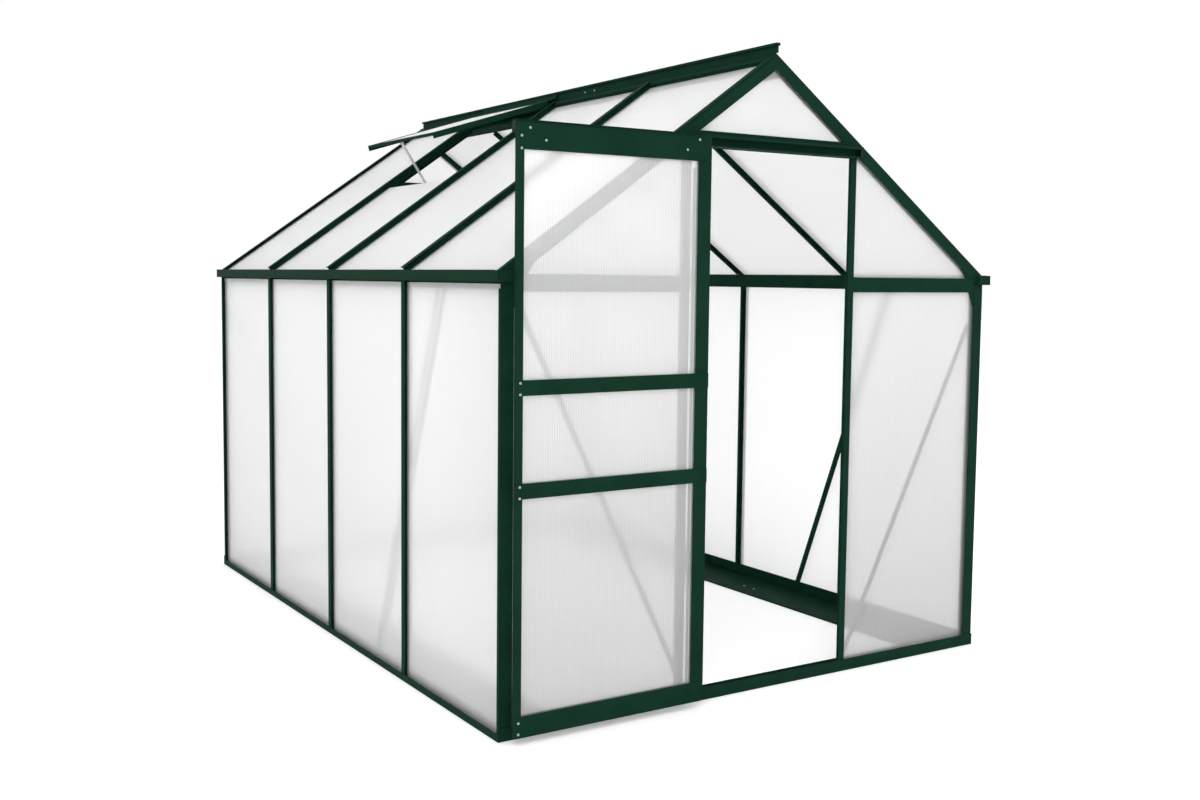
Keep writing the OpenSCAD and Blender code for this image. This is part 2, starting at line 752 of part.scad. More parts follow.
// Blocks that close both ends of the track.
module track_stops() color(nylon)
    front_gable() for (x = [track_start, track_end - stop_length])
        translate([x, -track_depth + wall + joint_gap, track_height + 2 * wall])
            cube([stop_length, track_depth - 2 * wall - joint_gap, track_face - 4 * wall]);

// ---------------------------------------------------------------- assembly

module front_sill() front_gable() gable_sill();
module rear_sill() rear_gable() gable_sill();
module left_sill() left_wall() side_sill();
module right_sill() right_wall() side_sill();
module front_left_post() front_gable() corner_post();
module front_right_post() front_gable() far_half() corner_post();
module rear_left_post() rear_gable() far_half() corner_post();
module rear_right_post() rear_gable() corner_post();
module left_wall_bars() left_wall() wall_bars();
module right_wall_bars() right_wall() wall_bars();
module left_gutter() left_wall() gutter();
module right_gutter() right_wall() gutter();
module front_left_rafter() left_slope() rafter();
module front_right_rafter() right_slope() rafter();
module rear_left_rafter() translate([0, front + rear, 0]) mirror([0, 1, 0]) left_slope() rafter();
module rear_right_rafter() translate([0, front + rear, 0]) mirror([0, 1, 0]) right_slope() rafter();
module left_roof_bars() left_slope() roof_bars();
module right_roof_bars() right_slope() roof_bars();
module left_door_post() front_gable() door_post();
module right_door_post() front_gable() far_half() door_post();
module rear_gable_posts() rear_gable() { rear_gable_post(); far_half() rear_gable_post(); }
module front_left_eave_rail() front_gable() side_eave_rail();
module front_right_eave_rail() front_gable() far_half() side_eave_rail();
module rear_eave_rails() rear_gable() { side_eave_rail(); far_half() side_eave_rail(); middle_eave_rail(); }
module front_crossbar() front_gable() crossbar();
module rear_crossbar() rear_gable() crossbar();
module front_gussets() front_gable() { gusset(); far_half() gusset(); }
module rear_gussets() rear_gable() { gusset(); far_half() gusset(); }
module front_braces() front_gable() { long_gable_brace(); far_half() short_gable_brace(); }
module rear_braces() rear_gable() { short_gable_brace(); far_half() short_gable_brace(); }
module left_wall_brace() left_wall() wall_brace();
module right_wall_brace() right_wall() wall_brace();
module left_wall_sheets() left_wall() wall_sheets();
module right_wall_sheets() right_wall() wall_sheets();
module left_roof_sheets() left_slope() roof_sheets(vent_bay);
module right_roof_sheets() right_slope() roof_sheets();
module front_left_sheets() front_gable() side_gable_sheets();
module front_right_sheets() front_gable() far_half() side_gable_sheets();
module front_apex_sheet() front_gable() apex_sheet();
module rear_sheets() rear_gable() {
    side_gable_sheets();
    far_half() side_gable_sheets();
    apex_sheet();
    middle_gable_sheets();
}

front_sill();
rear_sill();
left_sill();
right_sill();
front_left_post();
front_right_post();
rear_left_post();
rear_right_post();
left_wall_bars();
right_wall_bars();
left_gutter();
right_gutter();
front_left_rafter();
front_right_rafter();
rear_left_rafter();
rear_right_rafter();
left_roof_bars();
right_roof_bars();
ridge();
left_door_post();
right_door_post();
rear_gable_posts();
front_left_eave_rail();
front_right_eave_rail();
rear_eave_rails();
front_crossbar();
rear_crossbar();
door_track();
front_gussets();
rear_gussets();
front_braces();
rear_braces();
left_wall_brace();
right_wall_brace();
left_wall_sheets();
right_wall_sheets();
left_roof_sheets();
right_roof_sheets();
front_left_sheets();
front_right_sheets();
front_apex_sheet();
rear_sheets();
vent_frame();
vent_sheet();
vent_stay();
door_left_stile();
door_right_stile();
door_header();
door_middle_rails();
door_bottom_rail();
door_sheets();
door_rollers();
track_stops();
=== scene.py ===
"""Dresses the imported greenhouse: finishes for its frame and sheets, fixings, seals and studio."""
import logging
from dataclasses import dataclass, field
from enum import Enum
from math import atan2, cos, pi, radians, sin
from typing import Callable, Optional, Union

import bpy
from mathutils import Matrix, Vector


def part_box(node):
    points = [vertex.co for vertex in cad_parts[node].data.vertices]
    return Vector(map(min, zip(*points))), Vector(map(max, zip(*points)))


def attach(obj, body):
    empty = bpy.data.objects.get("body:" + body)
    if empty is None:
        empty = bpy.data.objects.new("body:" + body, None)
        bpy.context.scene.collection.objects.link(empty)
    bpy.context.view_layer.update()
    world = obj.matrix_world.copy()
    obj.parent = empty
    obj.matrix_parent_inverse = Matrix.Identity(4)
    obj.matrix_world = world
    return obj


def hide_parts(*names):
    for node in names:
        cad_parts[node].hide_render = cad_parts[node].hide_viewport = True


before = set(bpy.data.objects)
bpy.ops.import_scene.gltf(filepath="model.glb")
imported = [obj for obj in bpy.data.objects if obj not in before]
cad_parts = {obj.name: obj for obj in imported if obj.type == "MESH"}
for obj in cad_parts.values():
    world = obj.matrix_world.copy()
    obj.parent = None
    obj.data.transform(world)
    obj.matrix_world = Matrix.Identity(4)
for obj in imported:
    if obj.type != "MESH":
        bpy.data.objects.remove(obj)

Colour = tuple[float, float, float, float]
Span = tuple[float, float]
Socket = bpy.types.NodeSocket

LOG = logging.getLogger("greenhouse")
WHITE: Colour = (1.0, 1.0, 1.0, 1.0)
UNIT: Span = (0.0, 1.0)
# The least cosine of a face that looks squarely one way, and the distance in metres within which
# a face lies at the end of its piece.
SQUARE_ON = 0.99
NEAR = 0.0001


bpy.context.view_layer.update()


class Body(Enum):
    """The two rigid bodies of the greenhouse."""

    FRAME = "frame"
    DOOR = "door"


class Run(Enum):
    """The axis that the hollow channels of a sheet repeat along."""

    ACROSS_X = 0
    ACROSS_Y = 1


class Face(Enum):
    """The way that a fixing's head, or the end of a piece, looks out."""

    FRONT = (0.0, -1.0, 0.0)
    REAR = (0.0, 1.0, 0.0)
    LEFT = (-1.0, 0.0, 0.0)
    UP = (0.0, 0.0, 1.0)


# ---------------------------------------------------------------- finishes


@dataclass(frozen=True)
class Noise:
    """Noise on object coordinates.

    Attributes:
        size: Scale, in waves per metre.
        detail: Number of finer layers.
        stretch: Factor on each axis.
    """

    size: float
    detail: float
    stretch: tuple[float, float, float] = (1.0, 1.0, 1.0)


@dataclass(frozen=True)
class Relief:
    """A relief too fine to model.

    Attributes:
        strength: Its strength, from 0 to 1.
        distance: Its height in metres.
    """

    strength: float
    distance: float


class NodeSheet:
    """A small helper that lays out and links shader nodes."""

    ramp_ends: Span = (0.3, 0.7)

    def __init__(self, name: str) -> None:
        """Starts an empty material.

        Args:
            name: The material's name.
        """
        self.material = bpy.data.materials.new(name)
        self.material.use_nodes = True
        self.tree = self.material.node_tree
        self.tree.nodes.clear()
        self.output = self.add("ShaderNodeOutputMaterial")

    def add(self, kind: str, **settings: object) -> bpy.types.Node:
        """Adds a node.

        Args:
            kind: The node's type name.
            **settings: Attributes to set on it.

        Returns:
            The new node.
        """
        node = self.tree.nodes.new(kind)
        for key, value in settings.items():
            setattr(node, key, value)
        return node

    def link(self, source: Socket, target: Socket) -> None:
        """Links two sockets.

        Args:
            source: The output that is read.
            target: The input that it feeds.
        """
        self.tree.links.new(source, target)

    def noise(self, grain: Noise) -> Socket:
        """Adds noise on object coordinates.

        Args:
            grain: Its size, detail and stretch.

        Returns:
            The noise's value socket.
        """
        coordinates = self.add("ShaderNodeTexCoord")
        mapping = self.add("ShaderNodeMapping")
        mapping.inputs["Scale"].default_value = grain.stretch
        texture = self.add("ShaderNodeTexNoise")
        texture.inputs["Scale"].default_value = grain.size
        texture.inputs["Detail"].default_value = grain.detail
        self.link(coordinates.outputs["Object"], mapping.inputs["Vector"])
        self.link(mapping.outputs["Vector"], texture.inputs["Vector"])
        return texture.outputs["Fac"]

    def ramp(self, value: Socket, low: Colour, high: Colour) -> Socket:
        """Turns a value into a colour between two colours.

        Args:
            value: The value socket to read.
            low: Colour of low values.
            high: Colour of high values.

        Returns:
            The colour socket.
        """
        node = self.add("ShaderNodeValToRGB")
        for element, place, colour in zip(node.color_ramp.elements, self.ramp_ends, (low, high)):
            element.position = place
            element.color = colour
        self.link(value, node.inputs["Fac"])
        return node.outputs["Color"]

    def remap(self, value: Socket, target: Span, source: Span = UNIT,
              smooth: bool = False) -> Socket:
        """Maps a value from one range to another.

        Args:
            value: The value socket to read.
            target: What the ends of the source range become.
            source: The range to read.
            smooth: Whether the change eases in and out.

        Returns:
            The mapped value's socket.
        """
        way = "SMOOTHSTEP" if smooth else "LINEAR"
        node = self.add("ShaderNodeMapRange", interpolation_type=way)
        for word, ends in (("From", source), ("To", target)):
            node.inputs[f"{word} Min"].default_value = ends[0]
            node.inputs[f"{word} Max"].default_value = ends[1]
        self.link(value, node.inputs["Value"])
        return node.outputs["Result"]

    def around(self, value: Socket, middle: float, swing: float) -> Socket:
        """Maps a value from 0..1 to a range about a middle.

        Args:
            value: The value socket to read.
            middle: The middle of the range.
            swing: How far it reaches to either side.

        Returns:
            The mapped value's socket.
        """
        return self.remap(value, (middle - swing, middle + swing))

    def product(self, first: Socket, second: Socket) -> Socket:
        """Multiplies two values.

        Args:
            first: The first value's socket.
            second: The second value's socket.

        Returns:
            The product's socket.
        """
        node = self.add("ShaderNodeMath", operation="MULTIPLY")
        self.link(first, node.inputs[0])
        self.link(second, node.inputs[1])
        return node.outputs["Value"]

    def blend(self, share: Union[Socket, float], first: Socket, second: Socket) -> Socket:
        """Blends two shaders.

        Args:
            share: The second shader's share, as a socket or a fixed value.
            first: The first shader.
            second: The second shader.

        Returns:
            The blended shader's socket.
        """
        node = self.add("ShaderNodeMixShader")
        if isinstance(share, float):
            node.inputs["Fac"].default_value = share
        else:
            self.link(share, node.inputs["Fac"])
        self.link(first, node.inputs[1])
        self.link(second, node.inputs[2])
        return node.outputs["Shader"]

    def bump(self, height: Socket, relief: Relief) -> Socket:
        """Makes a normal from a height.

        Args:
            height: The height's socket, 0..1.
            relief: Its strength and depth.

        Returns:
            The normal's socket.
        """
        node = self.add("ShaderNodeBump")
        node.inputs["Strength"].default_value = relief.strength
        node.inputs["Distance"].default_value = relief.distance
        self.link(height, node.inputs["Height"])
        return node.outputs["Normal"]

    def finish(self, surface: Socket) -> bpy.types.Material:
        """Links the surface to the output.

        Args:
            surface: The shader's socket.

        Returns:
            The finished material.
        """
        self.link(surface, self.output.inputs["Surface"])
        return self.material


def linear(red: int, green: int, blue: int) -> Colour:
    """Turns a screen colour in 0..255 into scene-linear values.

    Args:
        red: Red, 0..255.
        green: Green, 0..255.
        blue: Blue, 0..255.

    Returns:
        Linear red, green, blue and an alpha of 1.
    """
    values = []
    for part in (red, green, blue):
        share = part / 255
        values.append(share / 12.92 if share <= 0.04045 else ((share + 0.055) / 1.055) ** 2.4)
    return (values[0], values[1], values[2], 1.0)


@dataclass(frozen=True)
class PowderCoat:
    """Satin powder coat with a faint mottle and a fine orange-peel surface.

    Attributes:
        name: The material's name.
        dark: Its darker colour.
        light: Its lighter colour.
        roughness: Its middle roughness.
        swing: How far the roughness reaches to either side.
        mottle: The slow change of its colour.
        grain: The fine surface.
        relief: How that surface stands out.
        refraction: Index of refraction.
        gloss: Level of the mirror-like share.
    """

    name: str
    dark: Colour
    light: Colour
    roughness: float = 0.5
    swing: float = 0.05
    mottle: Noise = Noise(9.0, 4.0)
    grain: Noise = Noise(900.0, 2.0)
    relief: Relief = Relief(0.12, 0.0004)
    refraction: float = 1.12
    gloss: float = 0.2

    def build(self) -> bpy.types.Material:
        """Makes the material.

        Returns:
            The finished material.
        """
        sheet = NodeSheet(self.name)
        shader = sheet.add("ShaderNodeBsdfPrincipled")
        mottle = sheet.noise(self.mottle)
        grain = sheet.noise(self.grain)
        sheet.link(sheet.ramp(mottle, self.dark, self.light), shader.inputs["Base Color"])
        sheet.link(sheet.around(mottle, self.roughness, self.swing), shader.inputs["Roughness"])
        sheet.link(sheet.bump(grain, self.relief), shader.inputs["Normal"])
        shader.inputs["IOR"].default_value = self.refraction
        shader.inputs["Specular IOR Level"].default_value = self.gloss
        return sheet.finish(shader.outputs["BSDF"])


@dataclass(frozen=True)
class Metal:
    """Bare or plated metal with faint brushing.

    Attributes:
        name: The material's name.
        dark: Its darker colour.
        light: Its lighter colour.
        roughness: Its middle roughness.
        swing: How far the roughness reaches to either side.
        brush: The brushing, drawn out along z.
    """

    name: str
    dark: Colour
    light: Colour
    roughness: float = 0.35
    swing: float = 0.08
    brush: Noise = Noise(600.0, 3.0, (1.0, 1.0, 0.05))

    def build(self) -> bpy.types.Material:
        """Makes the material.

        Returns:
            The finished material.
        """
        sheet = NodeSheet(self.name)
        shader = sheet.add("ShaderNodeBsdfPrincipled")
        brush = sheet.noise(self.brush)
        sheet.link(sheet.ramp(brush, self.dark, self.light), shader.inputs["Base Color"])
        sheet.link(sheet.around(brush, self.roughness, self.swing), shader.inputs["Roughness"])
        shader.inputs["Metallic"].default_value = 1.0
        return sheet.finish(shader.outputs["BSDF"])


@dataclass(frozen=True)
class Polymer:
    """Matt moulded plastic or rubber with a fine grain.

    Attributes:
        name: The material's name.
        dark: Its darker colour.
        light: Its lighter colour.
        roughness: Its roughness.
        grain: The fine surface.
        relief: How that surface stands out.
        gloss: Level of the mirror-like share.
    """

    name: str
    dark: Colour
    light: Colour
    roughness: float = 0.6
    grain: Noise = Noise(260.0, 3.0)
    relief: Relief = Relief(0.2, 0.0004)
    gloss: float = 0.15

    def build(self) -> bpy.types.Material:
        """Makes the material.

        Returns:
            The finished material.
        """
        sheet = NodeSheet(self.name)
        shader = sheet.add("ShaderNodeBsdfPrincipled")
        grain = sheet.noise(self.grain)
        sheet.link(sheet.ramp(grain, self.dark, self.light), shader.inputs["Base Color"])
        sheet.link(sheet.bump(grain, self.relief), shader.inputs["Normal"])
        shader.inputs["Roughness"].default_value = self.roughness
        shader.inputs["Specular IOR Level"].default_value = self.gloss
        return sheet.finish(shader.outputs["BSDF"])


@dataclass(frozen=True)
class HollowSheet:
    """Clear-white hollow sheet: frosted, with fine channels and soft streaks along them, and
    painted shade that darkens it towards the ground.

    Attributes:
        name: The material's name.
        run: The axis that its channels repeat along.
        pitch: Distance between channels, in metres.
        clear: Share that passes light clearly where it is seen squarely.
        clear_aslant: The same share where it is seen aslant.
        roughness: Middle roughness of the clear share.
        white_low: Whiteness at the ground, where the painted shade is deepest.
        white_high: Whiteness above the painted shade, from its top upwards.
        painted_shade_top: Height where the painted shade ends and the whiteness stops growing.
        milk: Part of the rest that glows through; what is left reflects.
        tint: Colour of the clear share.
        refraction: Index of refraction of the clear share.
        gloss: Level of the clear share's mirror-like part.
        swing: How far the clear share's roughness reaches to either side.
        face_roughness: Roughness of the reflecting part.
        face_gloss: Level of its mirror-like part.
        streak_size: Scale of the streaks, in waves per metre.
        streak_detail: Number of finer layers in them.
        streak_stretch: Factor that draws them out along the channels.
        streak_tones: Darkest and lightest tone of the streaks.
        relief: How the channels stand out.
        rib_shares: Least and greatest factor that the channels give the clear share.
        slant_blend: How the slant is weighed.
        slants: Slants where the clear share begins and stops changing.
    """

    name: str
    run: Run
    pitch: float = 0.0055
    clear: float = 0.66
    clear_aslant: float = 0.3
    roughness: float = 0.3
    white_low: float = 0.86
    white_high: float = 0.985
    painted_shade_top: float = 1.25
    milk: float = 0.5
    tint: Colour = (0.995, 0.998, 0.997, 1.0)
    refraction: float = 1.12
    gloss: float = 0.2
    swing: float = 0.03
    face_roughness: float = 0.4
    face_gloss: float = 0.3
    streak_size: float = 45.0
    streak_detail: float = 3.0
    streak_stretch: float = 0.02
    streak_tones: Span = (0.975, 1.0)
    relief: Relief = Relief(0.15, 0.0005)
    rib_shares: Span = (0.94, 1.06)
    slant_blend: float = 0.5
    slants: Span = (0.25, 0.7)

    def ribs(self, sheet: NodeSheet, across: Socket) -> Socket:
        """Makes the wave of the channels.

        Args:
            sheet: The material's nodes.
            across: The coordinate that the channels repeat along.

        Returns:
            The wave's socket, 0..1.
        """
        turns = sheet.add("ShaderNodeMath", operation="MULTIPLY")
        turns.inputs[1].default_value = 2 * pi / self.pitch
        sheet.link(across, turns.inputs[0])
        wave = sheet.add("ShaderNodeMath", operation="SINE")
        sheet.link(turns.outputs[0], wave.inputs[0])
        return sheet.remap(wave.outputs[0], UNIT, source=(-1.0, 1.0))

    def streaks(self, sheet: NodeSheet) -> Socket:
        """Makes the streaks along the channels.

        Args:
            sheet: The material's nodes.

        Returns:
            The streaks' value socket.
        """
        stretch = [self.streak_stretch] * 3
        stretch[self.run.value] = 1.0
        return sheet.noise(Noise(self.streak_size, self.streak_detail, tuple(stretch)))

    def white(self, sheet: NodeSheet, height: Socket, streaks: Socket) -> Socket:
        """Makes the whiteness, which grows with the height: painted shade darkens it towards the
        ground.

        Args:
            sheet: The material's nodes.
            height: The height's socket.
            streaks: The streaks' socket.

        Returns:
            The whiteness's socket.
        """
        # Painted shade: the sheet's whiteness falls towards the ground.
        painted_shade_ramp = sheet.remap(height, (self.white_low, self.white_high),
                           source=(0.0, self.painted_shade_top), smooth=True)
        return sheet.product(painted_shade_ramp, sheet.remap(streaks, self.streak_tones))

    def clear_part(self, sheet: NodeSheet, streaks: Socket, bump: Socket) -> Socket:
        """Makes the part that passes light clearly.

        Args:
            sheet: The material's nodes.
            streaks: The streaks' socket.
            bump: The normal's socket.

        Returns:
            The shader's socket.
        """
        shader = sheet.add("ShaderNodeBsdfPrincipled")
        shader.inputs["Transmission Weight"].default_value = 1.0
        shader.inputs["IOR"].default_value = self.refraction
        shader.inputs["Specular IOR Level"].default_value = self.gloss
        shader.inputs["Base Color"].default_value = self.tint
        sheet.link(sheet.around(streaks, self.roughness, self.swing), shader.inputs["Roughness"])
        sheet.link(bump, shader.inputs["Normal"])
        return shader.outputs["BSDF"]

    def milky_part(self, sheet: NodeSheet, white: Socket, bump: Socket) -> Socket:
        """Makes the part that glows through and reflects.

        Args:
            sheet: The material's nodes.
            white: The whiteness's socket.
            bump: The normal's socket.

        Returns:
            The shader's socket.
        """
        glow = sheet.add("ShaderNodeBsdfTranslucent")
        sheet.link(white, glow.inputs["Color"])
        face = sheet.add("ShaderNodeBsdfPrincipled")
        face.inputs["Roughness"].default_value = self.face_roughness
        face.inputs["Specular IOR Level"].default_value = self.face_gloss
        sheet.link(white, face.inputs["Base Color"])
        sheet.link(bump, face.inputs["Normal"])
        return sheet.blend(self.milk, face.outputs["BSDF"], glow.outputs["BSDF"])

    def clear_share(self, sheet: NodeSheet, ribs: Socket) -> Socket:
        """Makes the share of the clear part, by the slant and the channels.

        Args:
            sheet: The material's nodes.
            ribs: The channels' socket.

        Returns:
            The share's socket.
        """
        slant = sheet.add("ShaderNodeLayerWeight")
        slant.inputs["Blend"].default_value = self.slant_blend
        depth = sheet.remap(slant.outputs["Facing"], (self.clear, self.clear_aslant),
                            source=self.slants, smooth=True)
        return sheet.product(depth, sheet.remap(ribs, self.rib_shares))

    def build(self) -> bpy.types.Material:
        """Makes the material.

        Returns:
            The finished material.
        """
        sheet = NodeSheet(self.name)
        coordinates = sheet.add("ShaderNodeTexCoord")
        split = sheet.add("ShaderNodeSeparateXYZ")
        sheet.link(coordinates.outputs["Object"], split.inputs["Vector"])
        ribs = self.ribs(sheet, split.outputs[self.run.value])
        streaks = self.streaks(sheet)
        bump = sheet.bump(ribs, self.relief)
        white = self.white(sheet, split.outputs["Z"], streaks)
        clear = self.clear_part(sheet, streaks, bump)
        milky = self.milky_part(sheet, white, bump)
        return sheet.finish(sheet.blend(self.clear_share(sheet, ribs), milky, clear))


class Finishes:
    """Every material of the greenhouse, made once."""

    def __init__(self) -> None:
        """Builds the materials."""
        self.green = PowderCoat("green_powder_coat", linear(14, 43, 31), linear(18, 49, 36)).build()
        self.bare = Metal("bare_aluminium", (0.44, 0.45, 0.46, 1.0),
                          (0.64, 0.65, 0.66, 1.0)).build()
        self.zinc = Metal("zinc_plate", (0.38, 0.40, 0.40, 1.0), (0.54, 0.56, 0.56, 1.0),
                          roughness=0.4).build()
        self.nylon = Polymer("dark_nylon", linear(11, 24, 19), linear(15, 30, 24),
                             roughness=0.5).build()
        # The sheet finishes are copies of one hollow sheet whose whiteness is set per place as
        # painted light and shade; the front right gable bay is darkest, as painted shade.
        self.gable_sheet_painted_shade = HollowSheet(
            "hollow_sheet_gable_painted_shade", Run.ACROSS_X, clear=0.52, roughness=0.2,
            white_low=0.66, white_high=0.88, painted_shade_top=1.75, milk=0.3).build()
        self.rear_sheet = HollowSheet(
            "hollow_sheet_rear", Run.ACROSS_X, white_low=0.86, white_high=1.0).build()
        self.door_sheet = HollowSheet(
            "hollow_sheet_door", Run.ACROSS_X, clear=0.62, roughness=0.25,
            white_low=0.76, white_high=1.0, painted_shade_top=1.6, milk=0.3).build()
        self.side_sheet = HollowSheet(
            "hollow_sheet_side", Run.ACROSS_Y, white_low=0.93, white_high=1.0).build()
        self.roof_sheet = HollowSheet(
            "hollow_sheet_roof", Run.ACROSS_Y, clear=0.64, clear_aslant=0.34,
            white_low=0.98, white_high=1.0).build()


# ---------------------------------------------------------------- workbench


class Workbench:
    """Tools for modelling a piece by hand: selecting, shaping, baking and copying."""

    @staticmethod
    def clear() -> None:
        """Leaves edit mode and deselects everything."""
        if bpy.context.object and bpy.context.object.mode != "OBJECT":
            bpy.ops.object.mode_set(mode="OBJECT")
        bpy.ops.object.select_all(action="DESELECT")

    @staticmethod
    def pick(piece: bpy.types.Object) -> None:
        """Makes one object the only selected and active one.

        Args:
            piece: The object.
        """
        Workbench.clear()
        piece.select_set(True)
        bpy.context.view_layer.objects.active = piece

    @staticmethod
    def faces(piece: bpy.types.Object, wanted: Callable[[bpy.types.MeshPolygon], bool]) -> None:
        """Leaves a piece in edit mode with the wanted faces selected.

        Args:
            piece: The object to edit.
            wanted: Says whether a face is selected.
        """
        Workbench.pick(piece)
        bpy.ops.object.mode_set(mode="EDIT")
        bpy.ops.mesh.select_mode(type="FACE")
        bpy.ops.mesh.select_all(action="DESELECT")
        bpy.ops.object.mode_set(mode="OBJECT")
        for face in piece.data.polygons:
            face.select = wanted(face)
        bpy.ops.object.mode_set(mode="EDIT")

    @staticmethod
    def end_face(piece: bpy.types.Object, end: Face) -> None:
        """Leaves a piece in edit mode with the flat face at one end selected.

        Args:
            piece: The object to edit.
            end: The way that the end looks out.
        """
        Workbench.clear()
        way = Vector(end.value)
        reach = max(corner.co.dot(way) for corner in piece.data.vertices) - NEAR
        Workbench.faces(piece, lambda face: face.normal.dot(way) > SQUARE_ON
                        and face.center.dot(way) > reach)

    @staticmethod
    def step(piece: bpy.types.Object, end: Face, rim: float, rise: float) -> None:
        """Sinks or raises the middle of a piece's end.

        Args:
            piece: The object to edit.
            end: The way that the end looks out.
            rim: Width of the rim that stays.
            rise: How far the middle moves outwards; it sinks where this is negative.
        """
        Workbench.end_face(piece, end)
        bpy.ops.mesh.inset(thickness=rim)
        move = Vector(end.value) * rise
        bpy.ops.mesh.extrude_region_move(TRANSFORM_OT_translate={"value": tuple(move)})
        Workbench.done()

    @staticmethod
    def done() -> None:
        """Leaves edit mode."""
        bpy.ops.object.mode_set(mode="OBJECT")

    @staticmethod
    def bake(piece: bpy.types.Object) -> None:
        """Moves a piece's place into its mesh.

        Args:
            piece: The object.
        """
        piece.data.transform(piece.matrix_world)
        piece.matrix_world = Matrix.Identity(4)

    @staticmethod
    def copy(pattern: bpy.types.Object, name: str, place: Matrix, body: Body) -> bpy.types.Object:
        """Copies a finished pattern to a place, with its own mesh, riding on a body.

        Args:
            pattern: The object to copy.
            name: The copy's name.
            place: Where the copy goes.
            body: The body that it rides on.

        Returns:
            The copy.
        """
        piece = pattern.copy()
        piece.data = pattern.data.copy()
        piece.name = name
        piece.data.name = name
        bpy.context.scene.collection.objects.link(piece)
        piece.data.transform(place)
        piece.data.update()
        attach(piece, body.value)
        return piece

    @staticmethod
    def join(pieces: list[bpy.types.Object], name: str) -> bpy.types.Object:
        """Joins pieces into one object.

        Args:
            pieces: The objects to join.
            name: The joined object's name.

        Returns:
            The joined object.
        """
        Workbench.clear()
        for piece in pieces:
            piece.select_set(True)
        bpy.context.view_layer.objects.active = pieces[0]
        bpy.ops.object.join()
        pieces[0].name = name
        pieces[0].data.name = name
        return pieces[0]

    @staticmethod
    def bar(name: str, low: Vector, high: Vector, softening: float) -> bpy.types.Object:
        """Makes a straight bar with softened edges from its two corners.

        Args:
            name: The bar's name.
            low: Lowest corner.
            high: Highest corner.
            softening: Width of the softened edges.

        Returns:
            The bar.
        """
        Workbench.clear()
        bpy.ops.mesh.primitive_cube_add(size=1.0, location=(low + high) / 2, scale=high - low)
        piece = bpy.context.object
        piece.name = name
        piece.data.name = name
        Workbench.bake(piece)
        Workbench.pick(piece)
        bpy.ops.object.mode_set(mode="EDIT")
        bpy.ops.mesh.select_all(action="SELECT")
        bpy.ops.mesh.bevel(offset=softening, segments=2)
        Workbench.done()
        return piece

    @staticmethod
    def drum(radius: float, height: float, sides: int) -> bpy.types.Object:
        """Makes an upright drum with its base on z = 0.

        Args:
            radius: Its radius, to the corners.
            height: Its height.
            sides: Number of sides.

        Returns:
            The drum.
        """
        Workbench.clear()
        bpy.ops.mesh.primitive_cylinder_add(vertices=sides, radius=radius, depth=height,
                                            location=(0.0, 0.0, height / 2))
        piece = bpy.context.object
        Workbench.bake(piece)
        return piece


def turned_to(face: Face, place: Vector) -> Matrix:
    """Gives the matrix that turns a piece's +Z to a face's way and moves it to a place.

    Args:
        face: The way the piece looks out.
        place: Where its base goes.

    Returns:
        The matrix.
    """
    turn = Vector(Face.UP.value).rotation_difference(Vector(face.value))
    return Matrix.Translation(place) @ turn.to_matrix().to_4x4()


# ---------------------------------------------------------------- fixings


@dataclass(frozen=True)
class PanHead:
    """A domed bolt head with a driver recess.

    Attributes:
        radius: Its radius.
        height: Its height.
        sides: Number of sides.
        dome: Width of the rounding, as a share of the height.
        dome_steps: Number of steps in the rounding.
        rim: Rim about the recess, as a share of the radius.
        recess: Depth of the recess, as a share of the height.
        smooth: Greatest angle between smoothly shaded faces, in degrees.
    """

    radius: float = 0.0038
    height: float = 0.0022
    sides: int = 16
    dome: float = 0.55
    dome_steps: int = 3
    rim: float = 0.1
    recess: float = 0.45
    smooth: float = 35.0

    def model(self, finish: bpy.types.Material) -> bpy.types.Object:
        """Models the head, its base on z = 0.

        Args:
            finish: Its material.

        Returns:
            The head.
        """
        piece = Workbench.drum(self.radius, self.height, self.sides)
        Workbench.end_face(piece, Face.UP)
        bpy.ops.mesh.bevel(offset=self.height * self.dome, segments=self.dome_steps)
        Workbench.step(piece, Face.UP, self.radius * self.rim, -self.height * self.recess)
        bpy.ops.object.shade_smooth_by_angle(angle=radians(self.smooth))
        piece.data.materials.append(finish)
        return piece


@dataclass(frozen=True)
class HexNut:
    """A six-sided nut with its bolt's end.

    Attributes:
        radius: Its radius, to the corners.
        height: Its height.
        sides: Number of sides.
        chamfer: Width of the chamfers, as a share of the height.
        rim: Ring about the bolt's end, as a share of the radius.
        stub: How far the bolt's end stands out, as a share of the height.
    """

    radius: float = 0.0058
    height: float = 0.005
    sides: int = 6
    chamfer: float = 0.12
    rim: float = 0.3
    stub: float = 0.6

    def model(self, finish: bpy.types.Material) -> bpy.types.Object:
        """Models the nut, its base on z = 0.

        Args:
            finish: Its material.

        Returns:
            The nut.
        """
        piece = Workbench.drum(self.radius, self.height, self.sides)
        Workbench.faces(piece, lambda face: abs(face.normal.z) > SQUARE_ON)
        bpy.ops.mesh.bevel(offset=self.height * self.chamfer, segments=1)
        Workbench.step(piece, Face.UP, self.radius * self.rim, self.height * self.stub)
        piece.data.materials.append(finish)
        return piece


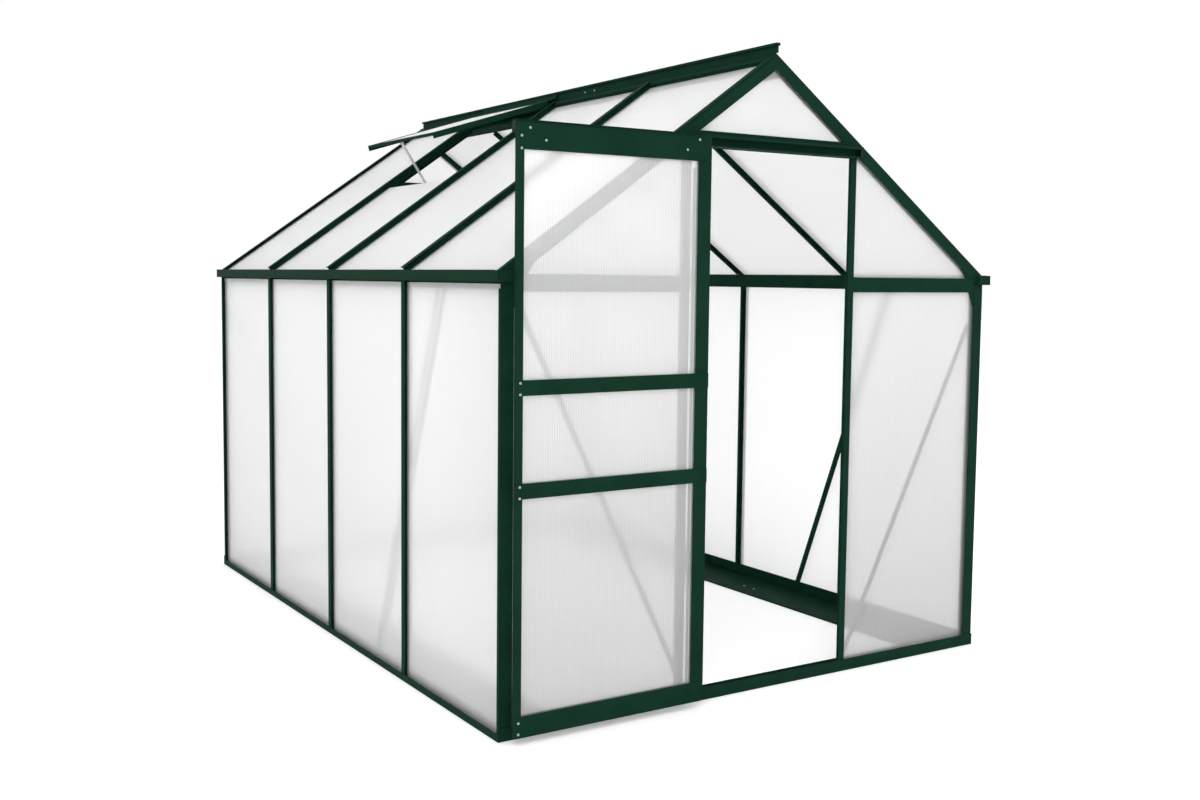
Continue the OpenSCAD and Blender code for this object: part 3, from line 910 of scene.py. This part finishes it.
@dataclass
class Fixings:
    """Bolts and nuts of the frame and the door, modelled once and copied.

    Attributes:
        finishes: The materials.
        count: Number of fixings placed so far.
        pan: The pattern of the bolt heads.
        nut: The pattern of the nuts.
        groups: The placed fixings, by the name of their set.
    """

    finishes: Finishes
    count: int = 0
    pan: Optional[bpy.types.Object] = None
    nut: Optional[bpy.types.Object] = None
    groups: dict[str, list[bpy.types.Object]] = field(default_factory=dict)

    def prepare(self) -> None:
        """Models the two patterns."""
        self.pan = PanHead().model(self.finishes.zinc)
        self.nut = HexNut().model(self.finishes.zinc)

    def bolt(self, group: str, face: Face, place: Vector, body: Body, nut: bool = False) -> None:
        """Puts a bolt head or a nut on a face.

        Args:
            group: The name of the set that it belongs to.
            face: The way it looks out.
            place: Where its base is.
            body: The body that it rides on.
            nut: Whether it is a nut.
        """
        self.count += 1
        pattern = self.nut if nut else self.pan
        piece = Workbench.copy(pattern, f"{group}_{self.count}", turned_to(face, place), body)
        self.groups.setdefault(group, []).append(piece)

    def finish(self) -> None:
        """Joins each set into one object and removes the patterns."""
        for group, pieces in self.groups.items():
            Workbench.join(pieces, group)
            LOG.info("fixings %s: %d", group, len(pieces))
        for pattern in (self.pan, self.nut):
            bpy.data.objects.remove(pattern)


# ---------------------------------------------------------------- sub-assemblies


@dataclass
class Frame:
    """The painted frame: the finishes of every CAD node, and the fixings that show on it.

    Attributes:
        finishes: The materials.
        fixings: The bolts and nuts.
        knuckle: Distance of the stay's pin from the stay's upper corner, each way.
        plate: Thickness of the side sills' foot.
        ridge_runs: Distances of the ridge's bolts behind the front posts' face.
        ridge_half: Half the thickness of the ridge's fin.
        ridge_drop: Depth of its bolts under its top.
        sill_runs: Distances of the side sills' bolts behind their front ends.
        sill_reach: Distance of those bolts from the foot's inner edge.
    """

    finishes: Finishes
    fixings: Fixings
    knuckle: float = 0.006
    plate: float = 0.002
    ridge_runs: Span = (1.013, 1.077)
    ridge_half: float = 0.0015
    ridge_drop: float = 0.024
    sill_runs: Span = (0.995, 1.056)
    sill_reach: float = 0.082

    def special_finishes(self) -> dict[str, bpy.types.Material]:
        """Lists the CAD nodes that aren't painted.

        Returns:
            The finish of each, by the node's name.
        """
        finishes = self.finishes
        return {
            "door_sheets": finishes.door_sheet,
            # The front right bay takes the sheet finish darkened as painted shade.
            "front_right_sheets": finishes.gable_sheet_painted_shade,
            "front_left_sheets": finishes.rear_sheet,
            "front_apex_sheet": finishes.rear_sheet,
            "rear_sheets": finishes.rear_sheet,
            "left_wall_sheets": finishes.side_sheet,
            "right_wall_sheets": finishes.side_sheet,
            "left_roof_sheets": finishes.roof_sheet,
            "right_roof_sheets": finishes.roof_sheet,
            "vent_sheet": finishes.roof_sheet,
            "vent_stay": finishes.bare,
            "door_rollers": finishes.nylon,
            "track_stops": finishes.nylon,
        }

    def dress(self) -> None:
        """Gives every CAD node its finish."""
        special = self.special_finishes()
        for name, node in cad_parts.items():
            node.data.materials.clear()
            node.data.materials.append(special.get(name, self.finishes.green))

    def bolt_ridge(self) -> None:
        """Puts the bolts that hold the ridge on its left fin."""
        _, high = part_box("ridge")
        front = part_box("front_left_post")[0].y
        for run in self.ridge_runs:
            place = Vector((-self.ridge_half, front + run, high.z - self.ridge_drop))
            self.fixings.bolt("ridge_bolts", Face.LEFT, place, Body.FRAME)

    def pin_stay(self) -> None:
        """Puts the bolt head and the nut on the knuckle that the stay hangs from."""
        low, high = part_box("vent_stay")
        across, height = low.x + self.knuckle, high.z - self.knuckle
        head, tail = Vector((across, low.y, height)), Vector((across, high.y, height))
        self.fixings.bolt("stay_pin", Face.FRONT, head, Body.FRAME)
        self.fixings.bolt("stay_pin", Face.REAR, tail, Body.FRAME, nut=True)

    def bolt_sills(self) -> None:
        """Puts the two bolts in the foot of each side sill, near the middle of its length."""
        for side, way in (("left", -1.0), ("right", 1.0)):
            low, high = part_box(f"{side}_sill")
            inner = high.x if way < 0 else low.x
            for run in self.sill_runs:
                place = Vector((inner + way * self.sill_reach, low.y + run, self.plate))
                self.fixings.bolt("sill_bolts", Face.UP, place, Body.FRAME)

    def build(self) -> None:
        """Dresses the frame and adds its fixings."""
        self.dress()
        self.bolt_sills()
        self.pin_stay()
        self.bolt_ridge()
        LOG.info("frame dressed")


@dataclass
class GableBraces:
    """The flat braces across the gables' lower bays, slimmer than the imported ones.

    Attributes:
        finishes: The materials.
        width: Width of a strip.
        softening: Width of its softened edges.
        inset: Distance of a strip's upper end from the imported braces' outer side.
        drop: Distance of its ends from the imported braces' top and bottom.
        foot_step: Distance of a short strip's foot from the doorway's edge.
        long_step: How far the long strip's foot, at the front left, reaches past that edge.
    """

    finishes: Finishes
    width: float = 0.019
    softening: float = 0.0003
    inset: float = 0.0112
    drop: float = 0.0057
    foot_step: float = 0.043
    long_step: float = 0.027

    def model_strip(self, name: str, head: Vector, foot: Vector,
                    thickness: float) -> bpy.types.Object:
        """Models one strip between two points of a gable.

        Args:
            name: The strip's name.
            head: The middle of its upper end.
            foot: The middle of its lower end.
            thickness: Its thickness, along y.

        Returns:
            The strip.
        """
        run = head - foot
        half = Vector((self.width, thickness, run.length)) / 2
        piece = Workbench.bar(name, -half, half, self.softening)
        lean = Matrix.Rotation(atan2(run.x, run.z), 4, "Y")
        piece.data.transform(Matrix.Translation((head + foot) / 2) @ lean)
        piece.data.materials.append(self.finishes.green)
        return piece

    def build(self) -> None:
        """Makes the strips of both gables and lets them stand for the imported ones."""
        _, rear_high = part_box("rear_braces")
        short_top = rear_high.z - self.drop
        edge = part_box("right_door_post")[0].x
        for end in ("front", "rear"):
            low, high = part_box(f"{end}_braces")
            middle, bottom = (low.y + high.y) / 2, low.z + self.drop
            thickness = high.y - low.y
            foot = Vector((edge + self.foot_step, middle, bottom))
            head = Vector((high.x - self.inset, middle, short_top))
            strips = [self.model_strip(f"{end}_brace_right", head, foot, thickness)]
            if end == "front":
                foot = Vector((self.long_step - edge, middle, bottom))
                head = Vector((low.x + self.inset, middle, high.z - self.drop))
            else:
                foot = Vector((-foot.x, middle, bottom))
                head = Vector((-head.x, middle, short_top))
            strips.append(self.model_strip(f"{end}_brace_left", head, foot, thickness))
            piece = Workbench.join(strips, f"{end}_brace_strips")
            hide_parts(f"{end}_braces")
            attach(piece, Body.FRAME.value)
        LOG.info("gable braces fitted")


@dataclass
class Gutters:
    """The moulded stops that close the gutters' ends.

    Attributes:
        finishes: The materials.
        length: Length of a front stop.
        height: Depth of a front stop's bottom under the gutter's top.
        plate: Inset of a rear stop on every side, and of its front from the gutter's end.
        softening: Width of the softened edges.
        rim: Width of the rim about the recess.
        recess: Depth of the recess.
        lip_gap: Distance of a front stop's top from the gutter's top.
        end_gap: Distance of a rear stop's back from the gutter's end.
    """

    finishes: Finishes
    length: float = 0.017
    height: float = 0.033
    plate: float = 0.003
    softening: float = 0.0012
    rim: float = 0.003
    recess: float = 0.0015
    lip_gap: float = 0.001
    end_gap: float = 0.0005

    def model_stop(self, name: str, low: Vector, high: Vector) -> bpy.types.Object:
        """Models one stop: a softened block with a shallow recess in its front.

        Args:
            name: The stop's name.
            low: Lowest corner.
            high: Highest corner.

        Returns:
            The stop.
        """
        piece = Workbench.bar(name, low, high, self.softening)
        Workbench.step(piece, Face.FRONT, self.rim, -self.recess)
        piece.data.materials.append(self.finishes.green)
        return piece

    def build(self) -> None:
        """Closes the gutters' front ends, and their rear ends inside the channel."""
        for side in ("left", "right"):
            low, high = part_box(f"{side}_gutter")
            bottom = high.z - self.height
            start = Vector((low.x, low.y - self.length, bottom))
            end = Vector((high.x, low.y, high.z - self.lip_gap))
            front = self.model_stop(f"{side}_gutter_front_stop", start, end)
            start = Vector((low.x + self.plate, high.y - self.plate, bottom + self.plate))
            end = Vector((high.x - self.plate, high.y - self.end_gap, high.z - self.plate))
            rear = self.model_stop(f"{side}_gutter_rear_stop", start, end)
            for piece in (front, rear):
                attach(piece, Body.FRAME.value)
        LOG.info("gutters closed")


@dataclass
class Door:
    """The sliding door: the bolts on its face and the draught strip behind its right stile.

    Attributes:
        finishes: The materials.
        fixings: The bolts and nuts.
        strip_width: Width of the draught strip.
        strip_depth: Its depth behind the stile.
        strip_lift: Height of its foot above the stile's foot.
        strip_top: Height of its top above the ground.
        strip_softening: Width of its softened edges.
        carrier_share: The carrier's part of its depth.
        lip_rim: How much the lip is thinner than the carrier on each side.
        header_bolts: Places of the header's bolts: from the leaf's left side, and height.
        stile_along: Distance of the left stile's bolts from the leaf's left side.
        stile_heights: Heights of the left stile's bolts.
    """

    finishes: Finishes
    fixings: Fixings
    strip_width: float = 0.003
    strip_depth: float = 0.012
    strip_lift: float = 0.02
    strip_top: float = 1.6
    strip_softening: float = 0.0002
    carrier_share: float = 0.4
    lip_rim: float = 0.0006
    header_bolts: tuple[Span, ...] = (
        (0.0345, 1.6738), (0.0833, 1.6435), (0.5535, 1.6466), (0.597, 1.6776))
    stile_along: float = 0.0085
    stile_heights: tuple[float, ...] = (1.652, 1.619, 0.997, 0.966, 0.716, 0.685, 0.065, 0.034)

    def fit_strip(self) -> None:
        """Fits the draught strip, a carrier with a thinner lip along its back."""
        low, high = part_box("door_right_stile")
        start = Vector((low.x, high.y, low.z + self.strip_lift))
        carrier = self.strip_depth * self.carrier_share
        end = Vector((start.x + self.strip_width, start.y + carrier, self.strip_top))
        piece = Workbench.bar("door_draught_strip", start, end, self.strip_softening)
        Workbench.step(piece, Face.REAR, self.lip_rim, self.strip_depth - carrier)
        piece.data.materials.append(self.finishes.nylon)
        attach(piece, Body.DOOR.value)

    def bolt_leaf(self) -> None:
        """Puts the bolts on the leaf's face."""
        low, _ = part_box("door_left_stile")
        stile_bolts = tuple((self.stile_along, height) for height in self.stile_heights)
        for along, height in self.header_bolts + stile_bolts:
            place = Vector((low.x + along, low.y, height))
            self.fixings.bolt("door_bolts", Face.FRONT, place, Body.DOOR)

    def build(self) -> None:
        """Fits the strip and the bolts."""
        self.fit_strip()
        self.bolt_leaf()
        LOG.info("door dressed")


# ---------------------------------------------------------------- studio


@dataclass
class Studio:
    """Floor, world, lamps and camera.

    Attributes:
        camera_place: Where the camera stands.
        yaw: How far it looks to the right of +Y, in degrees.
        pitch: How far it looks up, in degrees.
        roll: How far it leans, in degrees.
        sensor: Width of its sensor, in millimetres.
        focal: Focal length, as a share of the sensor's width.
        shift: Shift of its view, across and up.
        key_place: Where the key lamp hangs.
        fill_place: Where the fill lamp hangs.
        aim: The point that both lamps face.
        lamp_size: Side of each lamp.
        lamp_power: Power of the key lamp, in watts.
        fill_share: The fill lamp's power as a share of the key's.
        floor_size: Side of the floor.
        floor_drop: Depth of the floor under the part.
        floor_tones: Darkest and lightest grey of the floor.
        floor_noise: How those change over the floor.
        floor_roughness: Roughness of the floor.
        floor_glow: Light that the floor gives by itself.
    """

    camera_place: Vector = field(default_factory=lambda: Vector((-2.605, -4.24625, 1.283)))
    yaw: float = 31.836
    pitch: float = -4.476
    roll: float = 0.525
    sensor: float = 36.0
    focal: float = 1.06475
    shift: Span = (0.0265, -0.0197)
    key_place: Vector = field(default_factory=lambda: Vector((-3.5, -5.0, 4.5)))
    fill_place: Vector = field(default_factory=lambda: Vector((5.0, -3.0, 3.5)))
    aim: Vector = field(default_factory=lambda: Vector((0.0, 0.0, 1.0)))
    lamp_size: float = 3.0
    lamp_power: float = 110.0
    fill_share: float = 0.4
    floor_size: float = 60.0
    floor_drop: float = 0.0005
    floor_tones: Span = (0.94, 0.96)
    floor_noise: Noise = Noise(0.6, 2.0)
    floor_roughness: float = 0.95
    floor_glow: float = 0.21

    def lay_floor(self) -> None:
        """Lays a plain pale floor that looks white away from the building."""
        Workbench.clear()
        bpy.ops.mesh.primitive_plane_add(size=self.floor_size,
                                         location=(0.0, 0.0, -self.floor_drop))
        floor = bpy.context.object
        floor.name = "floor"
        sheet = NodeSheet("floor_white")
        shader = sheet.add("ShaderNodeBsdfPrincipled")
        dark, light = ((tone, tone, tone, 1.0) for tone in self.floor_tones)
        colour = sheet.ramp(sheet.noise(self.floor_noise), dark, light)
        sheet.link(colour, shader.inputs["Base Color"])
        shader.inputs["Roughness"].default_value = self.floor_roughness
        shader.inputs["Specular IOR Level"].default_value = 0.0
        shader.inputs["Emission Color"].default_value = WHITE
        shader.inputs["Emission Strength"].default_value = self.floor_glow
        floor.data.materials.append(sheet.finish(shader.outputs["BSDF"]))

    def light_world(self) -> None:
        """Lights the scene softly from all round, with a white background."""
        world = bpy.data.worlds.new("studio")
        bpy.context.scene.world = world
        world.use_nodes = True
        tree = world.node_tree
        tree.nodes.clear()
        output = tree.nodes.new("ShaderNodeOutputWorld")
        background = tree.nodes.new("ShaderNodeBackground")
        background.inputs["Strength"].default_value = 1.0
        background.inputs["Color"].default_value = WHITE
        tree.links.new(background.outputs["Background"], output.inputs["Surface"])

    def hang_lamp(self, name: str, place: Vector, power: float) -> None:
        """Hangs a square soft lamp.

        Args:
            name: The lamp's name.
            place: Where it hangs.
            power: Its power in watts.
        """
        lamp = bpy.data.lights.new(name, "AREA")
        lamp.size = self.lamp_size
        lamp.energy = power
        holder = bpy.data.objects.new(name, lamp)
        holder.location = place
        holder.rotation_euler = (self.aim - place).to_track_quat("-Z", "Y").to_euler()
        bpy.context.scene.collection.objects.link(holder)

    def set_camera(self) -> None:
        """Sets the camera from its yaw, pitch and roll."""
        yaw, pitch, roll = (radians(value) for value in (self.yaw, self.pitch, self.roll))
        ahead = Vector((sin(yaw) * cos(pitch), cos(yaw) * cos(pitch), sin(pitch)))
        right = Vector((cos(yaw), -sin(yaw), 0.0))
        up = right.cross(ahead)
        across = right * cos(roll) + up * sin(roll)
        upward = up * cos(roll) - right * sin(roll)
        data = bpy.data.cameras.new("camera")
        data.sensor_width = self.sensor
        data.lens = self.focal * self.sensor
        data.shift_x, data.shift_y = self.shift
        camera = bpy.data.objects.new("camera", data)
        turn = Matrix((across, upward, -ahead)).transposed().to_4x4()
        camera.matrix_world = Matrix.Translation(self.camera_place) @ turn
        bpy.context.scene.collection.objects.link(camera)
        bpy.context.scene.camera = camera

    def build(self) -> None:
        """Sets up floor, lights and camera."""
        bpy.context.scene.view_settings.view_transform = "Standard"
        self.lay_floor()
        self.light_world()
        self.hang_lamp("key", self.key_place, self.lamp_power)
        self.hang_lamp("fill", self.fill_place, self.lamp_power * self.fill_share)
        self.set_camera()
        LOG.info("studio set")


def main() -> None:
    """Builds the greenhouse's looks in order."""
    logging.basicConfig(level=logging.INFO, format="%(name)s: %(message)s")
    finishes = Finishes()
    fixings = Fixings(finishes)
    fixings.prepare()
    Frame(finishes, fixings).build()
    GableBraces(finishes).build()
    Gutters(finishes).build()
    Door(finishes, fixings).build()
    fixings.finish()
    Studio().build()


if __name__ == "__main__":
    main()
